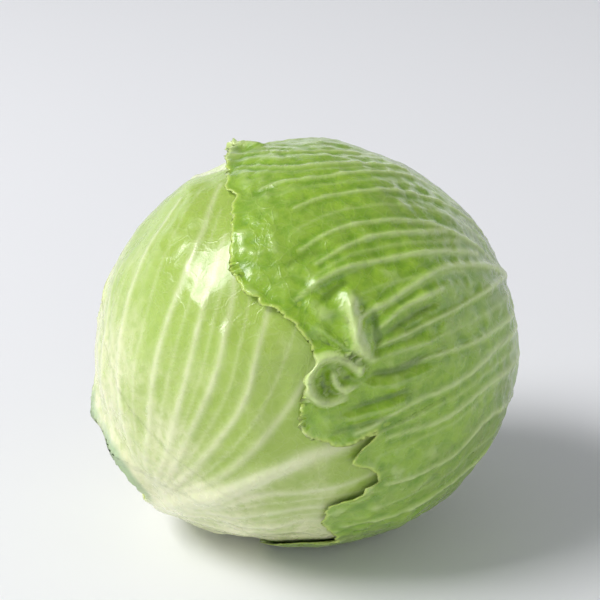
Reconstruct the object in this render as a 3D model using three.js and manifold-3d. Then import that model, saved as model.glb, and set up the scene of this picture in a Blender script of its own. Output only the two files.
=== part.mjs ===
// A white cabbage, lying on its side: a stem stump, a tight heart and eight wrapper leaves.
// Millimetres, +Z up. The origin is on the surface that the head rests on, under the middle of its
// bounding box. The stump points to the back left and a little down; the crown points to the front right.
//
// Every leaf is a thin shell that follows the head. Leaf 1 is the outermost and lies on the head's outer
// surface. Each leaf further in is pushed down by one step wherever a leaf lies over it, and comes back up
// past that leaf's edge, so the shells nest without touching.
import * as THREE from "three";
import { mergeVertices } from "three/addons/utils/BufferGeometryUtils.js";
import Module from "manifold-3d";

const wasm = await Module();
wasm.setup();

// ---- driving dimensions, in millimetres and degrees ----
const EQUATOR_RADIUS = 92.5; // head's radius across its axis
const POLE_RADIUS = 88; // head's radius along its axis
const CENTRE_HEIGHT = 85.5; // of the head's middle above the surface it rests on
const FOOT_BLEND = 3.5; // how gently the round head turns into its flat foot
const STEM_AXIS = { azimuth: 124.4, elevation: -23.1 }; // from the head's middle to the stump
const STEP = 3; // from one leaf's outer face to the next leaf's
const LEAF_THICKNESS = 1.1;
const EDGE_HOLD = 6; // an upper leaf presses on the one below to this far past its own edge
const EDGE_RELEASE = 32; // and no longer presses past here
const HEART_INSET = 2.5; // of the heart's face, below where one more leaf would lie
const MIDRIB_HEIGHT = 3; // of the ridge along a leaf's outer face, at its stalk
const FLARE = { u: -60, v: 27, spread: 15, height: 5, reach: 12 }; // turned-out edge of the second leaf
const STUMP_RADIUS = 15.5;
const STUMP_CUT = 93; // from the head's middle to the cut face
const STUMP_ROOT = 62; // from the head's middle to the stump's inner end
const CLEARANCE = 0.35; // between the stump and what surrounds it
const LEAF_SPOKES = 36;
const LEAF_RINGS = 20; // half on the outer face and half on the inner face
const TURN_PER_LEAF = 137.5; // golden angle between successive leaves round the stem

// Where the head stands out from, or falls short of, an ellipsoid.
const LOBES = [
  { azimuth: -170, elevation: -38, height: 9.5, width: 24 }, // shoulder over the leaf bases
  { azimuth: -2, elevation: -5, height: 4, width: 38 },
  { azimuth: 156, elevation: 56, height: -2.5, width: 45 },
  { azimuth: -90, elevation: -57, height: -1.5, width: 30 },
  { azimuth: 40, elevation: 58, height: -1.5, width: 25 },
  { azimuth: 178, elevation: 5, height: 2.5, width: 16 },
  { ...STEM_AXIS, height: -5, width: 20 }, // dimple round the stump
];

const LEAF_GREEN = 0x8db24a;
const PALE_GREEN = 0xc8d896;
const HEART_CREAM = 0xe2e6b8;
const STUMP_CREAM = 0xdfe0b4;

// ---- directions and the head's shape ----
const rad = THREE.MathUtils.degToRad;
const deg = THREE.MathUtils.radToDeg;

function direction({ azimuth, elevation }) {
  const a = rad(azimuth);
  const e = rad(elevation);
  return new THREE.Vector3(Math.cos(e) * Math.cos(a), Math.cos(e) * Math.sin(a), Math.sin(e));
}

const angleBetween = (a, b) => deg(Math.acos(THREE.MathUtils.clamp(a.dot(b), -1, 1)));
const stem = direction(STEM_AXIS);
const centre = new THREE.Vector3(0, 0, CENTRE_HEIGHT);
const lobes = LOBES.map((lobe) => ({ ...lobe, at: direction(lobe) }));

// Polynomial smooth minimum: exactly a or b where they differ by more than the blend.
function smoothMin(a, b, blend) {
  const share = THREE.MathUtils.clamp(0.5 + (b - a) / (2 * blend), 0, 1);
  return b + (a - b) * share - blend * share * (1 - share);
}

// Radius of the head's outer surface along d, flat where it rests.
function headRadius(d) {
  const along = d.dot(stem);
  const ellipsoid =
    1 / Math.sqrt((1 - along ** 2) / EQUATOR_RADIUS ** 2 + along ** 2 / POLE_RADIUS ** 2);
  const round = lobes.reduce(
    (sum, lobe) => sum + lobe.height * Math.exp(-((angleBetween(d, lobe.at) / lobe.width) ** 2)),
    ellipsoid,
  );
  return d.z < 0 ? smoothMin(round, CENTRE_HEIGHT / -d.z, FOOT_BLEND) : round;
}

// One vertex at each corner, and no triangle that has shrunk to a line at a pole.
function welded(geometry) {
  const merged = mergeVertices(geometry.deleteAttribute("normal").deleteAttribute("uv"), 1e-5);
  const index = merged.index.array;
  const kept = [];
  for (let i = 0; i < index.length; i += 3) {
    const [a, b, c] = index.slice(i, i + 3);
    if (a !== b && b !== c && c !== a) kept.push(a, b, c);
  }
  return merged.setIndex(kept);
}

// ---- leaves ----
// A leaf's chart is the head seen from over the leaf's middle: u runs along the midrib from stalk to tip
// and v across it, both in degrees of arc.
class Leaf {
  constructor(name, middle, heading, outline, colour, flare = null) {
    this.name = name;
    this.flare = flare;
    this.colour = colour;
    this.middle = middle;
    this.along = heading.clone().addScaledVector(middle, -heading.dot(middle)).normalize();
    this.across = new THREE.Vector3().crossVectors(middle, this.along);
    const points = outline.map(([u, v]) => new THREE.Vector3(u, v, 0));
    this.edge = new THREE.CatmullRomCurve3(points, true, "centripetal");
    this.polygon = this.edge.getSpacedPoints(160);
    this.edgeDirections = this.polygon.map((p) => this.fromChart(p.x, p.y));
  }

  fromChart(u, v) {
    const arc = Math.hypot(u, v);
    const s = arc > 0 ? Math.sin(rad(arc)) / arc : 0;
    return this.middle
      .clone()
      .multiplyScalar(Math.cos(rad(arc)))
      .addScaledVector(this.along, s * u)
      .addScaledVector(this.across, s * v);
  }

  toChart(d) {
    const arc = angleBetween(d, this.middle);
    const u = d.dot(this.along);
    const v = d.dot(this.across);
    const flat = Math.hypot(u, v) || 1;
    return [(arc * u) / flat, (arc * v) / flat];
  }

  contains(d) {
    const [u, v] = this.toChart(d);
    const ring = this.polygon;
    let inside = false;
    for (let i = 0, j = ring.length - 1; i < ring.length; j = i++) {
      const crosses = ring[i].y > v !== ring[j].y > v;
      if (crosses && u < ((ring[j].x - ring[i].x) * (v - ring[i].y)) / (ring[j].y - ring[i].y) + ring[i].x)
        inside = !inside;
    }
    return inside;
  }

  // How firmly this leaf presses on what lies under it along d, from 1 under the leaf to 0 well past it.
  pressure(d) {
    if (this.contains(d)) return 1;
    const outside = Math.min(...this.edgeDirections.map((e) => angleBetween(d, e)));
    return 1 - THREE.MathUtils.smoothstep(outside, EDGE_HOLD, EDGE_RELEASE);
  }
}

// How far the surface of something that lies under these leaves is below the head's outer surface.
function depthUnder(over, d) {
  return over.reduce((sum, leaf) => sum + STEP * leaf.pressure(d), 0);
}

// A closed shell: the upper half of a sphere's rings becomes the leaf's outer face, its equator the leaf's
// edge, and the lower half its inner face.
function leafGeometry(leaf, over) {
  const geometry = welded(new THREE.SphereGeometry(1, LEAF_SPOKES, LEAF_RINGS));
  const position = geometry.getAttribute("position");
  const p = new THREE.Vector3();
  const rim = new THREE.Vector3();
  for (let i = 0; i < position.count; i++) {
    p.fromBufferAttribute(position, i);
    const colatitude = Math.acos(THREE.MathUtils.clamp(p.y, -1, 1)) / (Math.PI / 2);
    const outer = colatitude < 1 + 1e-6;
    const share = outer ? colatitude : 2 - colatitude;
    const turn = Math.atan2(p.x, p.z) / (2 * Math.PI) + 0.5;
    leaf.edge.getPointAt(turn % 1, rim);
    const u = rim.x * share;
    const v = rim.y * share;
    const d = leaf.fromChart(u, v);
    const outerRadius = headRadius(d) - depthUnder(over, d);
    const ridge = outer && over.length === 0 ? midrib(u, v, leaf) * clearOfFoot(d) : 0;
    const flare = leaf.flare ? turnedOut(leaf, d) : 0;
    const onRim = Math.abs(share - 1) < 1e-6;
    const radius = outerRadius + flare + ridge - (onRim ? LEAF_THICKNESS / 2 : outer ? 0 : LEAF_THICKNESS);
    p.copy(centre).addScaledVector(d, radius);
    position.setXYZ(i, p.x, p.y, Math.abs(p.z) < 1e-4 ? 0 : p.z);
  }
  return geometry;
}

// How far a turned-out stretch of edge stands off the head.
function turnedOut(leaf, d) {
  const { u, v, spread, height, reach } = leaf.flare;
  const fromEdge = rad(Math.min(...leaf.edgeDirections.map((e) => angleBetween(d, e)))) * EQUATOR_RADIUS;
  const away = angleBetween(d, leaf.fromChart(u, v)) / spread;
  return height * Math.max(1 - fromEdge / reach, 0) ** 1.6 * Math.exp(-(away ** 2));
}

// Height of the midrib's ridge: highest at the stalk, gone at the tip.
function midrib(u, v, leaf) {
  const stalk = leaf.polygon.reduce((least, p) => Math.min(least, p.x), 0);
  const fromTip = THREE.MathUtils.clamp((60 - u) / (60 - stalk), 0, 1);
  const width = 4 + 8 * fromTip;
  return MIDRIB_HEIGHT * fromTip * Math.exp(-((v / width) ** 2));
}

const clearOfFoot = (d) => THREE.MathUtils.smoothstep(angleBetween(d, new THREE.Vector3(0, 0, -1)), 30, 45);

// Outermost leaf: a wide wrapper from the right. Its ragged edge runs down the front.
const OUTER_LEAF_EDGE = [
  [-104, -34], [-88, -46], [-66, -64], [-40, -82], [-12, -92], [12, -94],
  [40, -88], [64, -78], [73, -69], [80, -66], [90, -56], [101, -41], [107, -27], [106, -15],
  [103, -6], [99, 5], [96.5, 12], [96.5, 19],
  [99.5, 28], [98, 37], [93, 52], [87, 55], [77, 57], [71, 63], [60, 69], [58, 77], [58, 88],
  [41, 97], [17, 102], [16, 112], [4, 119], [-20, 120], [-45, 110], [-70, 90], [-88, 60],
  [-100, 28], [-106, -6],
];

// Second leaf: comes up from the lower left, with a narrow stalk and its left edge turned out.
const SECOND_LEAF_EDGE = [
  [-111, -26], [-104, -36], [-88, -42], [-70, -54], [-50, -68], [-25, -82], [10, -86], [45, -76],
  [75, -55], [93, -25], [98, 12], [92, 50], [72, 84], [40, 105], [0, 110], [-28, 107], [-46, 98],
  [-55, 84], [-57, 70], [-61, 58], [-62, 45], [-60, 33], [-56, 24], [-54, 15], [-60, 8], [-72, 2],
  [-90, -4], [-108, -8],
];

// The other leaves share one outline: a broad blade on a short clasping stalk.
const BLADE = [
  [-97, -13], [-78, -19], [-58, -40], [-36, -66], [-8, -82], [22, -85], [50, -70], [70, -44], [79, -14],
  [79, 14], [70, 44], [50, 70], [22, 85], [-8, 82], [-36, 66], [-58, 40], [-78, 19], [-97, 13],
];
const MIDDLE_FROM_STEM = 101; // along the midrib, from the stem axis to a leaf's middle

// Stem axis turned towards the crown by "arc" along the meridian at "turn".
const meridianStart = new THREE.Vector3(1, 0, 0).projectOnPlane(stem).normalize();
function onMeridian(turn, arc) {
  const side = meridianStart.clone().applyAxisAngle(stem, rad(-turn));
  return stem.clone().multiplyScalar(Math.cos(rad(arc))).addScaledVector(side, Math.sin(rad(arc)));
}

const FIRST_TURN = 21; // of the outermost leaf round the stem
function wrapperLeaf(number) {
  const turn = FIRST_TURN - TURN_PER_LEAF * (number - 1) - 10;
  const middle = onMeridian(turn, MIDDLE_FROM_STEM);
  const heading = onMeridian(turn, MIDDLE_FROM_STEM + 60);
  const sway = (u, v) => [u * (1 + 0.02 * Math.sin(number * 2.4)), v * (1 + 0.04 * Math.cos(number * 1.7))];
  const outline = BLADE.map(([u, v]) => sway(u, v));
  return new Leaf(`wrapper_leaf_${number}`, middle, heading, outline, number % 2 ? LEAF_GREEN : PALE_GREEN);
}

const leaves = [
  new Leaf(
    "wrapper_leaf_1",
    direction({ azimuth: 16.1, elevation: 13.8 }),
    direction({ azimuth: -54.5, elevation: 35.4 }),
    OUTER_LEAF_EDGE,
    LEAF_GREEN,
  ),
  new Leaf(
    "wrapper_leaf_2",
    direction({ azimuth: -98.5, elevation: -26.7 }),
    direction({ azimuth: -15.8, elevation: 36.2 }),
    SECOND_LEAF_EDGE,
    PALE_GREEN,
    FLARE,
  ),
  ...[3, 4, 5, 6, 7, 8].map(wrapperLeaf),
];

// ---- heart and stump ----
function heartGeometry() {
  const geometry = welded(new THREE.SphereGeometry(1, 40, 24));
  const position = geometry.getAttribute("position");
  const d = new THREE.Vector3();
  for (let i = 0; i < position.count; i++) {
    d.fromBufferAttribute(position, i).normalize();
    const p = centre.clone().addScaledVector(d, headRadius(d) - depthUnder(leaves, d) - HEART_INSET);
    position.setXYZ(i, p.x, p.y, p.z);
  }
  return geometry;
}

// Turned about the stem axis: the cut face, a rim worn round, and a body that widens inwards.
function stumpGeometry(grow) {
  const r = STUMP_RADIUS + grow;
  const profile = [
    [0, STUMP_ROOT - grow],
    [r - 2, STUMP_ROOT - grow],
    [r, STUMP_ROOT + 6],
    [r, STUMP_CUT - 2.5],
    [r - 1.5, STUMP_CUT + grow],
    [0, STUMP_CUT + grow],
  ].map(([x, y]) => new THREE.Vector2(x, y));
  const geometry = welded(new THREE.LatheGeometry(profile, 28));
  const turn = new THREE.Quaternion().setFromUnitVectors(new THREE.Vector3(0, 1, 0), stem);
  return geometry.applyQuaternion(turn).translate(centre.x, centre.y, centre.z);
}

// ---- solids ----
function toSolid(geometry) {
  return new wasm.Manifold(
    new wasm.Mesh({
      numProp: 3,
      vertProperties: new Float32Array(geometry.getAttribute("position").array),
      triVerts: new Uint32Array(geometry.index.array),
    }),
  );
}

function toGeometry(solid) {
  const mesh = solid.getMesh();
  return new THREE.BufferGeometry()
    .setAttribute("position", new THREE.BufferAttribute(mesh.vertProperties, mesh.numProp))
    .setIndex(new THREE.BufferAttribute(mesh.triVerts, 1));
}

const largest = (solid) => solid.decompose().sort((a, b) => b.volume() - a.volume())[0];

function addPiece(group, name, solid, colour, roughness) {
  const material = new THREE.MeshStandardMaterial({ color: colour, roughness, metalness: 0 });
  const mesh = new THREE.Mesh(toGeometry(solid), material);
  mesh.name = name;
  group.add(mesh);
}

const cabbage = new THREE.Group();
const stumpRoom = toSolid(stumpGeometry(CLEARANCE));
leaves.forEach((leaf, i) => {
  const shell = toSolid(leafGeometry(leaf, leaves.slice(0, i))).subtract(stumpRoom);
  addPiece(cabbage, leaf.name, largest(shell), leaf.colour, 0.4);
});
addPiece(cabbage, "heart", largest(toSolid(heartGeometry()).subtract(stumpRoom)), HEART_CREAM, 0.5);
addPiece(cabbage, "stem_stump", toSolid(stumpGeometry(0)), STUMP_CREAM, 0.7);

// The origin goes under the middle of the whole.
const box = new THREE.Box3().setFromObject(cabbage);
const middle = box.getCenter(new THREE.Vector3());
cabbage.position.set(-middle.x, -middle.y, 0);

export default cabbage;
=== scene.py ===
"""A head of white cabbage lying on its side, with veined wrapper leaves, a heart and a cut stump.

Shapes are worked out in millimetres about the head's middle and written to meshes in metres. Every leaf
is a closed sheet that follows the head's surface. A leaf's chart is the head seen from over the leaf's
middle: u runs along the midrib from stalk to tip and v across it, both in degrees of arc.
"""
import logging
import math
from dataclasses import dataclass, field
from enum import Enum

import bmesh
import bpy
import numpy as np
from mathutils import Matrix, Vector


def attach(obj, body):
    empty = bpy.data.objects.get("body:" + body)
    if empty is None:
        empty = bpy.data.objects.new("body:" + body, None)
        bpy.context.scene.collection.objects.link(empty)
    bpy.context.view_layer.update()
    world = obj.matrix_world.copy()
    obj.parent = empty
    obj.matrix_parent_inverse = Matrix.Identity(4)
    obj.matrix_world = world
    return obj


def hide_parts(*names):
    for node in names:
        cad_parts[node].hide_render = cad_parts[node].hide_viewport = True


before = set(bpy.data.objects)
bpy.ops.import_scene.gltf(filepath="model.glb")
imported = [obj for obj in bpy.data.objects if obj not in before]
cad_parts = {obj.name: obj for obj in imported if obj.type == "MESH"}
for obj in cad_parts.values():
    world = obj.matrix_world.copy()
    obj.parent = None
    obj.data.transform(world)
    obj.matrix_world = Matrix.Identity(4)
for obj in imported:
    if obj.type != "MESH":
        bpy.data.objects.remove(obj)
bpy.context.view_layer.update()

logging.basicConfig(level=logging.INFO, format="%(relativeCreated)d ms %(message)s")
log = logging.getLogger("cabbage")

MM = 0.001
DEG = math.pi / 180
Array = np.ndarray
Path = tuple[tuple[float, float], ...]
Color = tuple[float, float, float, float]


# ---------------------------------------------------------------- small maths
def direction(azimuth: float, elevation: float) -> Array:
    """Gives a unit vector from two angles.

    Args:
        azimuth: Degrees from +X towards +Y.
        elevation: Degrees above the horizontal.

    Returns:
        The unit vector.
    """
    a, e = azimuth * DEG, elevation * DEG
    return np.array([math.cos(e) * math.cos(a), math.cos(e) * math.sin(a), math.sin(e)])


def angle_between(d: Array, axis: Array) -> Array:
    """Measures the angle from each direction to one axis.

    Args:
        d: Unit vectors, one to a row.
        axis: The unit axis.

    Returns:
        Angles in degrees.
    """
    return np.arccos(np.clip(d @ axis, -1, 1)) / DEG


def smoothstep(x: Array, low: float, high: float) -> Array:
    """Eases from 0 to 1.

    Args:
        x: Values.
        low: Where the result is 0.
        high: Where the result is 1.

    Returns:
        The eased values.
    """
    t = np.clip((x - low) / (high - low), 0, 1)
    return t * t * (3 - 2 * t)


def smooth_min(a: Array, b: Array, blend: float) -> Array:
    """Takes the lesser of two values with a rounded change from one to the other.

    Args:
        a: First values.
        b: Second values.
        blend: Difference past which the result is exactly the lesser.

    Returns:
        The blended values.
    """
    share = np.clip(0.5 + (b - a) / (2 * blend), 0, 1)
    return b + (a - b) * share - blend * share * (1 - share)


def through(points: Path, samples: int, closed: bool) -> Array:
    """Runs a smooth curve through points and samples it evenly along its length.

    Args:
        points: The points, in the chart.
        samples: How many points to return.
        closed: Whether the curve comes back to its start.

    Returns:
        The sampled points, one to a row.
    """
    p = np.array(points, dtype=float)
    if closed:
        p = np.vstack([p[-1], p, p[0], p[1]])
    else:
        p = np.vstack([2 * p[0] - p[1], p, 2 * p[-1] - p[-2]])
    t = np.linspace(0, 1, 24, endpoint=False)[:, None]
    a, b, c, d = p[:-3, None], p[1:-2, None], p[2:-1, None], p[3:, None]
    run = 0.5 * (2 * b + (c - a) * t + (2 * a - 5 * b + 4 * c - d) * t**2 + (3 * b - a - 3 * c + d) * t**3)
    run = np.vstack([run.reshape(-1, 2), p[-2]])
    length = np.concatenate([[0], np.cumsum(np.linalg.norm(np.diff(run, axis=0), axis=1))])
    at = np.linspace(0, length[-1], samples, endpoint=not closed)
    return np.stack([np.interp(at, length, run[:, k]) for k in (0, 1)], axis=1)


@dataclass(frozen=True)
class Ripple:
    """A smooth, repeatable unevenness made of plane waves.

    Attributes:
        seed: Picks the pattern.
        wavelength: Typical distance between swellings, mm.
        waves: How many waves are summed.
    """

    seed: int
    wavelength: float
    waves: int = 28

    def at(self, points: Array) -> Array:
        """Samples the unevenness.

        Args:
            points: Places in mm, one to a row.

        Returns:
            Values of about -1 to 1.
        """
        rng = np.random.default_rng(self.seed)
        aim = rng.normal(size=(self.waves, points.shape[1]))
        aim /= np.linalg.norm(aim, axis=1)[:, None]
        number = 2 * math.pi / self.wavelength * rng.uniform(0.6, 1.4, self.waves)
        phase = rng.uniform(0, 2 * math.pi, self.waves)
        total = np.zeros(len(points))
        for k in range(self.waves):
            total += np.cos(points @ (aim[k] * number[k]) + phase[k])
        return total / math.sqrt(self.waves)


# ---------------------------------------------------------------- the head
@dataclass(frozen=True)
class Lobe:
    """A place where the head stands out from, or falls short of, an ellipsoid."""

    azimuth: float
    elevation: float
    height: float
    width: float


@dataclass(frozen=True)
class HeadShape:
    """The outer surface that the outermost leaves follow, all in mm and degrees."""

    equator_radius: float = 92.5
    pole_radius: float = 88.0
    centre_height: float = 85.5
    foot_blend: float = 3.5
    stem_azimuth: float = 124.4
    stem_elevation: float = -23.1
    shift: tuple[float, float] = (-0.61, -0.18)
    lumps: float = 0.55
    lobes: tuple[Lobe, ...] = (
        Lobe(-170, -38, 9.5, 24),
        Lobe(-2, -5, 4, 38),
        Lobe(156, 56, -2.5, 45),
        Lobe(-90, -57, -1.5, 30),
        Lobe(40, 58, -1.5, 25),
        Lobe(178, 5, 2.5, 16),
        Lobe(124.4, -23.1, -5, 20),
    )

    @property
    def stem(self) -> Array:
        """Unit vector from the head's middle to the stump."""
        return direction(self.stem_azimuth, self.stem_elevation)

    @property
    def centre(self) -> Array:
        """The head's middle in the row frame, mm."""
        return np.array([self.shift[0], self.shift[1], self.centre_height])

    def clear_of_foot(self, d: Array) -> Array:
        """Tells how far from the flat foot each direction is.

        Args:
            d: Unit vectors.

        Returns:
            0 on the foot, 1 well clear of it.
        """
        return smoothstep(angle_between(d, np.array([0, 0, -1.0])), 24, 40)

    def radius(self, d: Array) -> Array:
        """Gives the outer surface's distance from the head's middle.

        Args:
            d: Unit vectors, one to a row.

        Returns:
            Radii in mm.
        """
        along = d @ self.stem
        r = 1 / np.sqrt((1 - along**2) / self.equator_radius**2 + along**2 / self.pole_radius**2)
        for lobe in self.lobes:
            away = angle_between(d, direction(lobe.azimuth, lobe.elevation))
            r = r + lobe.height * np.exp(-((away / lobe.width) ** 2))
        r = r + self.lumps * Ripple(11, 34).at(d * self.equator_radius) * self.clear_of_foot(d)
        low = d[:, 2] < -0.2
        r[low] = smooth_min(r[low], self.centre_height / -d[low, 2], self.foot_blend)
        return r


HEAD = HeadShape()
ARC_RADIUS = 94.0  # mm, turns degrees of arc on the head into lengths


@dataclass(frozen=True)
class Chart:
    """The head seen from over one leaf's middle."""

    middle: Array
    along: Array
    across: Array

    @staticmethod
    def facing(middle: Array, heading: Array) -> "Chart":
        """Makes a chart.

        Args:
            middle: Direction of the leaf's middle.
            heading: A direction that the leaf's tip points towards.

        Returns:
            The chart.
        """
        along = heading - middle * float(heading @ middle)
        along /= np.linalg.norm(along)
        return Chart(middle, along, np.cross(middle, along))

    def to_head(self, uv: Array) -> Array:
        """Turns chart points into directions from the head's middle."""
        arc = np.hypot(uv[:, 0], uv[:, 1])
        s = np.sin(arc * DEG) / np.maximum(arc, 1e-9)
        return (
            np.cos(arc * DEG)[:, None] * self.middle
            + (s * uv[:, 0])[:, None] * self.along
            + (s * uv[:, 1])[:, None] * self.across
        )

    def to_chart(self, d: Array) -> Array:
        """Turns directions from the head's middle into chart points."""
        arc = angle_between(d, self.middle)
        u, v = d @ self.along, d @ self.across
        scale = arc / np.maximum(np.hypot(u, v), 1e-9)
        return np.stack([u * scale, v * scale], axis=1)


# ---------------------------------------------------------------- what a leaf carries
@dataclass(frozen=True)
class Vein:
    """A raised vein.

    Attributes:
        path: From its thick end to its thin end, in the chart.
        width: Half-width at the thick end, mm.
        height: Of its crest at the thick end, mm.
        taper: Share of its size that is left at the thin end.
        shade: How pale it is, 0 to 1.
    """

    path: Path
    width: float
    height: float
    taper: float
    shade: float = 0.7


@dataclass(frozen=True)
class Crease:
    """A fold or dip that the whole sheet follows.

    Attributes:
        path: Its crest, in the chart.
        height: Outwards when positive, mm.
        width: Half-width, mm.
        lean: How far the crest hangs over, degrees of the chart in u and v.
    """

    path: Path
    height: float
    width: float
    lean: tuple[float, float] = (0.0, 0.0)


@dataclass(frozen=True)
class Flare:
    """A stretch of edge that turns away from the head.

    Attributes:
        at: Middle of the stretch, in the chart.
        spread: Half-length of the stretch, degrees.
        height: How far the edge stands off, mm.
        reach: How far in from the edge it starts, mm.
        turned: Whether it turns far enough to show the leaf's grey-green underside.
    """

    at: tuple[float, float]
    spread: float
    height: float
    reach: float
    turned: bool = False


@dataclass(frozen=True)
class LeafPlan:
    """Everything that sets one leaf's shape."""

    node: str
    chart: Chart
    outline: Path
    veins: tuple[Vein, ...]
    creases: tuple[Crease, ...] = ()
    flares: tuple[Flare, ...] = ()
    spokes: int = 200
    rings: int = 120
    thickness: float = 0.8
    edge_lift: float = 0.5
    raggedness: float = 0.5
    quilt: float = 1.0
    crinkle: float = 0.3
    crinkle_reach: float = 16.0
    seed: int = 1
    tone_axis: tuple[float, float] = (1.0, 0.0)
    tone_range: tuple[float, float] = (-80.0, 60.0)


FAN_GAP = 26.0  # degrees between side veins that are close enough to have a finer one between them


def ranks(sides: tuple[Path, ...], size: float, height: float, shade: float) -> tuple[Vein, ...]:
    """Makes a rank of side veins, with a finer one between each two that are close.

    Args:
        sides: Paths of the side veins, in order round the leaf.
        size: Half-width of each, mm.
        height: Of each, mm.
        shade: How pale they are, 0 to 1.

    Returns:
        The veins.
    """
    between = tuple(
        Vein(tuple(map(tuple, (through(a, 9, False) + through(b, 9, False)) / 2)), 1.1, 0.18 * height, 0.5, shade * 0.5)
        for a, b in zip(sides[:-1], sides[1:])
        if math.dist(a[0], b[0]) < FAN_GAP and math.dist(a[-1], b[-1]) < 2 * FAN_GAP
    )
    return (*(Vein(path, size, height, 0.5, shade) for path in sides), *between)


OUTER_CHART = Chart.facing(direction(16.1, 13.8), direction(-54.5, 35.4))
SECOND_CHART = Chart.facing(direction(-98.5, -26.7), direction(-15.8, 36.2))

OUTER_EDGE: Path = (
    (-104, -34), (-88, -46), (-66, -64), (-40, -82), (-12, -92), (12, -94), (22, -89), (40, -88),
    (64, -78), (73, -69), (80, -66), (90, -56), (101, -41), (107, -27), (106, -15), (103, -6),
    (99, 5), (96.5, 12), (96.5, 19), (99.5, 28), (98.5, 37), (93, 52), (87, 55),
    (79, 57), (73, 51), (72, 54), (74, 59), (71, 64), (63, 66), (58, 70), (59, 73), (57, 77), (58, 88),
    (41, 97), (17, 102), (16, 112), (4, 119), (-20, 120), (-45, 110), (-70, 90), (-88, 60),
    (-100, 28), (-106, -6),
)
OUTER_MIDRIB: Path = (
    (-100, -28), (-70, -20), (-40, -9), (-10, 0), (9, 2), (32, 0), (51, -2), (63, 0), (74, 4), (83, 7),
    (86, 17),
)
UPPER_SIDES: tuple[Path, ...] = (
    ((31.3, -47.8), (36.5, -53.8), (43.7, -66.5), (40.2, -81.8)),
    ((29, -31.8), (33.2, -38.9), (37.5, -42), (50.6, -51.9), (57.4, -63.1), (52, -80.2)),
    ((23.4, -26.5), (37.8, -36.6), (51.7, -44.2), (62, -51.4), (70.2, -63)),
    ((10.2, -7.6), (25.7, -16.8), (39.2, -26), (45.4, -29.7), (60.4, -37.4), (68.7, -41.9), (76.8, -44.2)),
    ((20, -0), (38.3, -9.2), (49, -17), (64.5, -24), (71.9, -27), (80.1, -28.2), (87.7, -27.5)),
    ((42.9, -13), (54.8, -15.2), (67.8, -19.4), (76.3, -20.3), (87.1, -19.2)),
    ((34.4, -3.9), (51.7, -7.2), (59, -8.5), (72.4, -11.1), (81.9, -12.6), (90.4, -11.7), (97.4, -8.6)),
    ((56.7, 4.4), (70, 7.2), (78.2, 12)),
    ((9.1, 1.6), (28.3, 4.7), (45.9, 9.4), (60.4, 13.3), (70.7, 16.5), (78.5, 18.4)),
    ((8.1, 8.8), (32.9, 17.6), (47.2, 22.1), (60.6, 24.8), (71.6, 27.3)),
)
LOWER_SIDES: tuple[Path, ...] = (
    ((6, 22), (35, 34), (52, 46), (67, 53)),
    ((8, 14), (33, 23), (50, 33), (66, 41), (78, 52)),
    ((11, 37), (29, 44), (38, 58), (53, 71)),
    ((8, 44), (17, 61), (29, 78), (38, 94)),
)
REAR_SIDES: tuple[Path, ...] = (
    ((-70, -20), (-55, -36), (-30, -60), (0, -80), (14, -90)),
    ((-45, -10), (-25, -30), (0, -48), (18, -62), (28, -82)),
    ((-20, -3), (-4, -10), (12, -17)),
    ((-45, -10), (-20, 4), (8, 14)),
    ((-60, -16), (-30, 6), (6, 22)),
    ((-60, -16), (-30, 18), (11, 37)),
    ((-75, -20), (-40, 20), (8, 44)),
    ((-80, -22), (-65, 10), (-40, 50), (-18, 80), (0, 110)),
    ((-85, -24), (-80, 10), (-68, 45), (-45, 85)),
)
SECOND_EDGE: Path = (
    (-111, -26), (-104, -36), (-88, -42), (-70, -54), (-50, -68), (-25, -82), (10, -86), (45, -76),
    (75, -55), (93, -25), (98, 12), (92, 50), (72, 84), (40, 105), (0, 110), (-28, 107), (-46, 98),
    (-54, 83), (-51, 74), (-47, 70), (-53, 65), (-61, 59), (-63, 50), (-60, 40), (-62, 33), (-50, 28.5),
    (-43.5, 24), (-41.5, 17), (-43, 9), (-53, 4), (-72, 0), (-90, -4), (-108, -8),
)
SECOND_MIDRIB: Path = (
    (-106, -19), (-80, -14), (-60, -6), (-37, 6), (-21, 10), (-1, 12), (16, 10), (27, 6), (45, 2), (70, 0),
)
SECOND_SIDES: tuple[Path, ...] = (
    ((-37, 9), (-25, 13), (-4, 17), (18, 23), (34, 29), (48, 36)),
    ((-38, 10), (-27, 15), (-5, 24), (13, 32), (24, 42), (36, 54)),
    ((-39, 11), (-31, 15), (-6, 31), (11, 43), (22, 57), (30, 72)),
    ((-40, 12), (-33, 16), (-15, 30), (0, 44), (14, 60), (25, 76)),
    ((-41, 13), (-34, 19), (-17, 40), (-3, 57), (14, 77), (23, 98)),
    ((-43, 14), (-37, 22), (-32, 41), (-25, 58), (-13, 78), (2, 98)),
    ((-46, 12), (-45, 28), (-43, 46), (-37, 64), (-30, 82)),
    ((-30, 8), (-24, 7), (-1, 7), (16, -3), (36, -14)),
    ((-38, 4), (-24, 5), (-3, 0), (10, -9), (26, -22)),
    ((-42, 2), (-27, 3), (-11, -4), (6, -15), (20, -32)),
    ((-48, 0), (-29, -3), (-15, -14), (-1, -27), (12, -48)),
    ((-55, -4), (-38, -14), (-24, -30), (-12, -52), (-6, -74)),
    ((-66, -10), (-54, -24), (-42, -42), (-34, -62)),
)
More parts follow.
